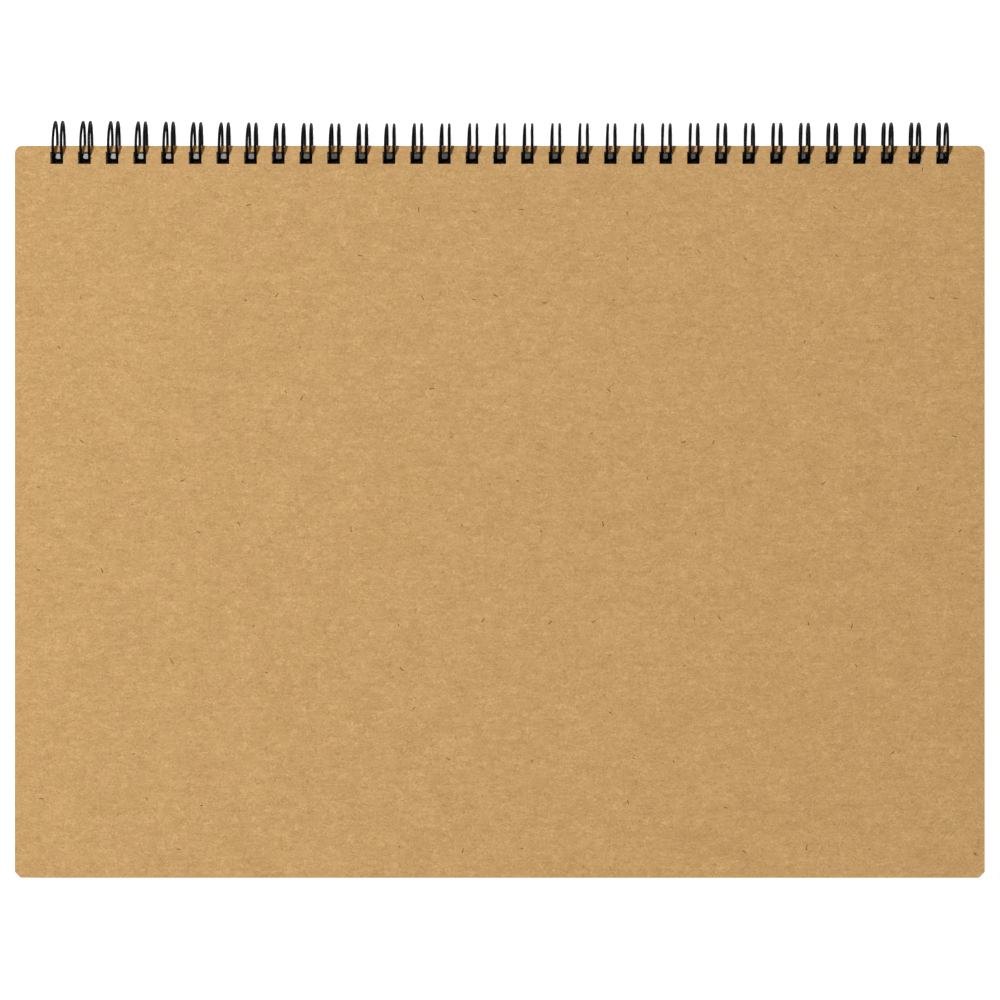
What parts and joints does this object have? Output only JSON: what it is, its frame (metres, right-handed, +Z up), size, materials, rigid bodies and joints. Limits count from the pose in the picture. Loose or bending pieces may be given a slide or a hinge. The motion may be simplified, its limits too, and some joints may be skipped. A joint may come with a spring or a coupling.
{
  "type": "wire-bound sketchbook",
  "caption": "Landscape sketchbook with stiff kraft board covers and loose-turning drawing sheets, bound along one long edge by a single continuous double-loop wire.",
  "frame": {"origin": "middle of the bounding box in X and Y, at the lowest point of the wire loops, where the closed book lies on a table", "axes": "+X along the binding, +Y from the free edge towards the wire, +Z up out of the front cover"},
  "size_m": [0.297, 0.232, 0.0131],
  "materials": {
    "cover_board": "matte",
    "coated_wire": "satin",
    "drawing_paper": "matte"
  },
  "bodies": {
    "back_cover": {"back_cover": "cover_board"},
    "binding_wire": {"binding_wire": "coated_wire"},
    "sheet_40": {"sheet_40": "drawing_paper"},
    "sheet_39": {"sheet_39": "drawing_paper"},
    "sheet_38": {"sheet_38": "drawing_paper"},
    "sheet_37": {"sheet_37": "drawing_paper"},
    "sheet_36": {"sheet_36": "drawing_paper"},
    "sheet_35": {"sheet_35": "drawing_paper"},
    "sheet_34": {"sheet_34": "drawing_paper"},
    "sheet_33": {"sheet_33": "drawing_paper"},
    "sheet_32": {"sheet_32": "drawing_paper"},
    "sheet_31": {"sheet_31": "drawing_paper"},
    "sheet_30": {"sheet_30": "drawing_paper"},
    "sheet_29": {"sheet_29": "drawing_paper"},
    "sheet_28": {"sheet_28": "drawing_paper"},
    "sheet_27": {"sheet_27": "drawing_paper"},
    "sheet_26": {"sheet_26": "drawing_paper"},
    "sheet_25": {"sheet_25": "drawing_paper"},
    "sheet_24": {"sheet_24": "drawing_paper"},
    "sheet_23": {"sheet_23": "drawing_paper"},
    "sheet_22": {"sheet_22": "drawing_paper"},
    "sheet_21": {"sheet_21": "drawing_paper"},
    "sheet_20": {"sheet_20": "drawing_paper"},
    "sheet_19": {"sheet_19": "drawing_paper"},
    "sheet_18": {"sheet_18": "drawing_paper"},
    "sheet_17": {"sheet_17": "drawing_paper"},
    "sheet_16": {"sheet_16": "drawing_paper"},
    "sheet_15": {"sheet_15": "drawing_paper"},
    "sheet_14": {"sheet_14": "drawing_paper"},
    "sheet_13": {"sheet_13": "drawing_paper"},
    "sheet_12": {"sheet_12": "drawing_paper"},
    "sheet_11": {"sheet_11": "drawing_paper"},
    "sheet_10": {"sheet_10": "drawing_paper"},
    "sheet_09": {"sheet_09": "drawing_paper"},
    "sheet_08": {"sheet_08": "drawing_paper"},
    "sheet_07": {"sheet_07": "drawing_paper"},
    "sheet_06": {"sheet_06": "drawing_paper"},
    "sheet_05": {"sheet_05": "drawing_paper"},
    "sheet_04": {"sheet_04": "drawing_paper"},
    "sheet_03": {"sheet_03": "drawing_paper"},
    "sheet_02": {"sheet_02": "drawing_paper"},
    "sheet_01": {"sheet_01": "drawing_paper"},
    "front_cover": {"front_cover": "cover_board"}
  },
  "joints": [
    {"name": "back_cover_turn", "type": "hinge", "parent": "back_cover", "child": "binding_wire", "pos_m": [0, 0.10945, 0.00655], "axis": [-1, 0, 0], "range_deg": [0, 180]},
    {"name": "sheet_40_turn", "type": "hinge", "parent": "binding_wire", "child": "sheet_40", "pos_m": [0, 0.10945, 0.00655], "axis": [-1, 0, 0], "range_deg": [0, 180]},
    {"name": "sheet_39_turn", "type": "hinge", "parent": "sheet_40", "child": "sheet_39", "pos_m": [0, 0.10945, 0.00655], "axis": [-1, 0, 0], "range_deg": [0, 180]},
    {"name": "sheet_38_turn", "type": "hinge", "parent": "sheet_39", "child": "sheet_38", "pos_m": [0, 0.10945, 0.00655], "axis": [-1, 0, 0], "range_deg": [0, 180]},
    {"name": "sheet_37_turn", "type": "hinge", "parent": "sheet_38", "child": "sheet_37", "pos_m": [0, 0.10945, 0.00655], "axis": [-1, 0, 0], "range_deg": [0, 180]},
    {"name": "sheet_36_turn", "type": "hinge", "parent": "sheet_37", "child": "sheet_36", "pos_m": [0, 0.10945, 0.00655], "axis": [-1, 0, 0], "range_deg": [0, 180]},
    {"name": "sheet_35_turn", "type": "hinge", "parent": "sheet_36", "child": "sheet_35", "pos_m": [0, 0.10945, 0.00655], "axis": [-1, 0, 0], "range_deg": [0, 180]},
    {"name": "sheet_34_turn", "type": "hinge", "parent": "sheet_35", "child": "sheet_34", "pos_m": [0, 0.10945, 0.00655], "axis": [-1, 0, 0], "range_deg": [0, 180]},
    {"name": "sheet_33_turn", "type": "hinge", "parent": "sheet_34", "child": "sheet_33", "pos_m": [0, 0.10945, 0.00655], "axis": [-1, 0, 0], "range_deg": [0, 180]},
    {"name": "sheet_32_turn", "type": "hinge", "parent": "sheet_33", "child": "sheet_32", "pos_m": [0, 0.10945, 0.00655], "axis": [-1, 0, 0], "range_deg": [0, 180]},
    {"name": "sheet_31_turn", "type": "hinge", "parent": "sheet_32", "child": "sheet_31", "pos_m": [0, 0.10945, 0.00655], "axis": [-1, 0, 0], "range_deg": [0, 180]},
    {"name": "sheet_30_turn", "type": "hinge", "parent": "sheet_31", "child": "sheet_30", "pos_m": [0, 0.10945, 0.00655], "axis": [-1, 0, 0], "range_deg": [0, 180]},
    {"name": "sheet_29_turn", "type": "hinge", "parent": "sheet_30", "child": "sheet_29", "pos_m": [0, 0.10945, 0.00655], "axis": [-1, 0, 0], "range_deg": [0, 180]},
    {"name": "sheet_28_turn", "type": "hinge", "parent": "sheet_29", "child": "sheet_28", "pos_m": [0, 0.10945, 0.00655], "axis": [-1, 0, 0], "range_deg": [0, 180]},
    {"name": "sheet_27_turn", "type": "hinge", "parent": "sheet_28", "child": "sheet_27", "pos_m": [0, 0.10945, 0.00655], "axis": [-1, 0, 0], "range_deg": [0, 180]},
    {"name": "sheet_26_turn", "type": "hinge", "parent": "sheet_27", "child": "sheet_26", "pos_m": [0, 0.10945, 0.00655], "axis": [-1, 0, 0], "range_deg": [0, 180]},
    {"name": "sheet_25_turn", "type": "hinge", "parent": "sheet_26", "child": "sheet_25", "pos_m": [0, 0.10945, 0.00655], "axis": [-1, 0, 0], "range_deg": [0, 180]},
    {"name": "sheet_24_turn", "type": "hinge", "parent": "sheet_25", "child": "sheet_24", "pos_m": [0, 0.10945, 0.00655], "axis": [-1, 0, 0], "range_deg": [0, 180]},
    {"name": "sheet_23_turn", "type": "hinge", "parent": "sheet_24", "child": "sheet_23", "pos_m": [0, 0.10945, 0.00655], "axis": [-1, 0, 0], "range_deg": [0, 180]},
    {"name": "sheet_22_turn", "type": "hinge", "parent": "sheet_23", "child": "sheet_22", "pos_m": [0, 0.10945, 0.00655], "axis": [-1, 0, 0], "range_deg": [0, 180]},
    {"name": "sheet_21_turn", "type": "hinge", "parent": "sheet_22", "child": "sheet_21", "pos_m": [0, 0.10945, 0.00655], "axis": [-1, 0, 0], "range_deg": [0, 180]},
    {"name": "sheet_20_turn", "type": "hinge", "parent": "sheet_21", "child": "sheet_20", "pos_m": [0, 0.10945, 0.00655], "axis": [-1, 0, 0], "range_deg": [0, 180]},
    {"name": "sheet_19_turn", "type": "hinge", "parent": "sheet_20", "child": "sheet_19", "pos_m": [0, 0.10945, 0.00655], "axis": [-1, 0, 0], "range_deg": [0, 180]},
    {"name": "sheet_18_turn", "type": "hinge", "parent": "sheet_19", "child": "sheet_18", "pos_m": [0, 0.10945, 0.00655], "axis": [-1, 0, 0], "range_deg": [0, 180]},
    {"name": "sheet_17_turn", "type": "hinge", "parent": "sheet_18", "child": "sheet_17", "pos_m": [0, 0.10945, 0.00655], "axis": [-1, 0, 0], "range_deg": [0, 180]},
    {"name": "sheet_16_turn", "type": "hinge", "parent": "sheet_17", "child": "sheet_16", "pos_m": [0, 0.10945, 0.00655], "axis": [-1, 0, 0], "range_deg": [0, 180]},
    {"name": "sheet_15_turn", "type": "hinge", "parent": "sheet_16", "child": "sheet_15", "pos_m": [0, 0.10945, 0.00655], "axis": [-1, 0, 0], "range_deg": [0, 180]},
    {"name": "sheet_14_turn", "type": "hinge", "parent": "sheet_15", "child": "sheet_14", "pos_m": [0, 0.10945, 0.00655], "axis": [-1, 0, 0], "range_deg": [0, 180]},
    {"name": "sheet_13_turn", "type": "hinge", "parent": "sheet_14", "child": "sheet_13", "pos_m": [0, 0.10945, 0.00655], "axis": [-1, 0, 0], "range_deg": [0, 180]},
    {"name": "sheet_12_turn", "type": "hinge", "parent": "sheet_13", "child": "sheet_12", "pos_m": [0, 0.10945, 0.00655], "axis": [-1, 0, 0], "range_deg": [0, 180]},
    {"name": "sheet_11_turn", "type": "hinge", "parent": "sheet_12", "child": "sheet_11", "pos_m": [0, 0.10945, 0.00655], "axis": [-1, 0, 0], "range_deg": [0, 180]},
    {"name": "sheet_10_turn", "type": "hinge", "parent": "sheet_11", "child": "sheet_10", "pos_m": [0, 0.10945, 0.00655], "axis": [-1, 0, 0], "range_deg": [0, 180]},
    {"name": "sheet_09_turn", "type": "hinge", "parent": "sheet_10", "child": "sheet_09", "pos_m": [0, 0.10945, 0.00655], "axis": [-1, 0, 0], "range_deg": [0, 180]},
    {"name": "sheet_08_turn", "type": "hinge", "parent": "sheet_09", "child": "sheet_08", "pos_m": [0, 0.10945, 0.00655], "axis": [-1, 0, 0], "range_deg": [0, 180]},
    {"name": "sheet_07_turn", "type": "hinge", "parent": "sheet_08", "child": "sheet_07", "pos_m": [0, 0.10945, 0.00655], "axis": [-1, 0, 0], "range_deg": [0, 180]},
    {"name": "sheet_06_turn", "type": "hinge", "parent": "sheet_07", "child": "sheet_06", "pos_m": [0, 0.10945, 0.00655], "axis": [-1, 0, 0], "range_deg": [0, 180]},
    {"name": "sheet_05_turn", "type": "hinge", "parent": "sheet_06", "child": "sheet_05", "pos_m": [0, 0.10945, 0.00655], "axis": [-1, 0, 0], "range_deg": [0, 180]},
    {"name": "sheet_04_turn", "type": "hinge", "parent": "sheet_05", "child": "sheet_04", "pos_m": [0, 0.10945, 0.00655], "axis": [-1, 0, 0], "range_deg": [0, 180]},
    {"name": "sheet_03_turn", "type": "hinge", "parent": "sheet_04", "child": "sheet_03", "pos_m": [0, 0.10945, 0.00655], "axis": [-1, 0, 0], "range_deg": [0, 180]},
    {"name": "sheet_02_turn", "type": "hinge", "parent": "sheet_03", "child": "sheet_02", "pos_m": [0, 0.10945, 0.00655], "axis": [-1, 0, 0], "range_deg": [0, 180]},
    {"name": "sheet_01_turn", "type": "hinge", "parent": "sheet_02", "child": "sheet_01", "pos_m": [0, 0.10945, 0.00655], "axis": [-1, 0, 0], "range_deg": [0, 180]},
    {"name": "front_cover_turn", "type": "hinge", "parent": "sheet_01", "child": "front_cover", "pos_m": [0, 0.10945, 0.00655], "axis": [-1, 0, 0], "range_deg": [0, 180]}
  ]
}
